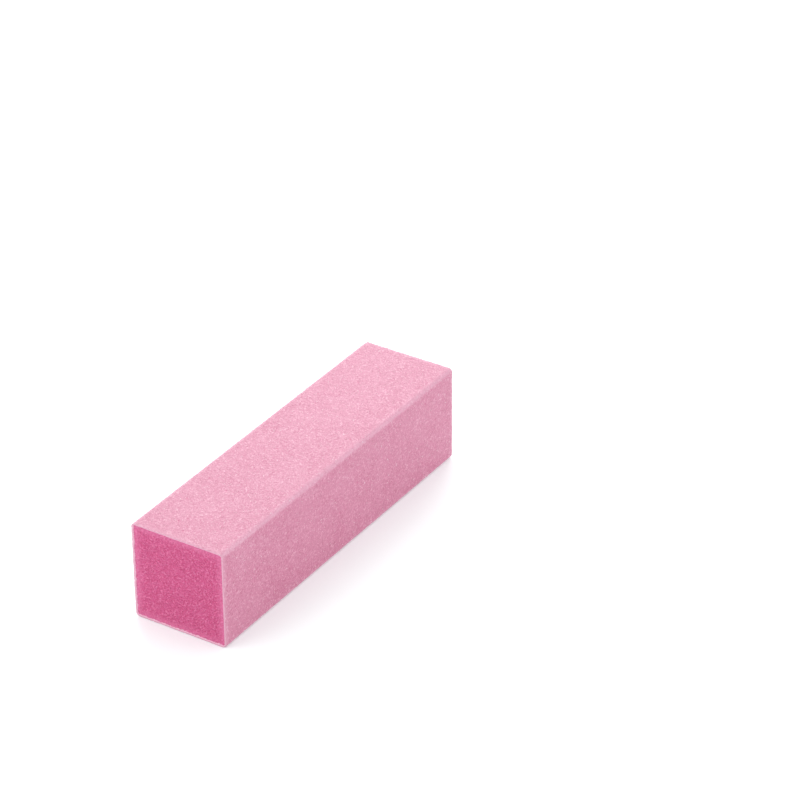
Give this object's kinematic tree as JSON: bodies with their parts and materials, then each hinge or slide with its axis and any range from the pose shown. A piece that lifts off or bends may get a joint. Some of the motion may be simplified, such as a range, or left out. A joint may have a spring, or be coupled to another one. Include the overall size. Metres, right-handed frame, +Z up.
{
  "type": "nail buffer block",
  "caption": "Rectangular foam nail buffer block with abrasive-coated long faces and bare cut foam ends.",
  "frame": {"origin": "centre of the bottom face that the block rests on", "axes": "+X along the block, parallel to the long faces; +Y across it, towards the left coat; +Z up, out of the top coat"},
  "size_m": [0.095, 0.025, 0.025],
  "materials": {
    "foam": "cut open-cell foam, matt",
    "bond_resin": "thin set resin, satin",
    "grit": "fine abrasive grains in resin, matt with sparkles"
  },
  "bodies": {
    "root": {"foam_core": "foam", "bond_coat_top": "bond_resin", "bond_coat_bottom": "bond_resin", "bond_coat_left": "bond_resin", "bond_coat_right": "bond_resin", "grit_coat_top": "grit", "grit_coat_bottom": "grit", "grit_coat_left": "grit", "grit_coat_right": "grit"}
  },
  "joints": []
}
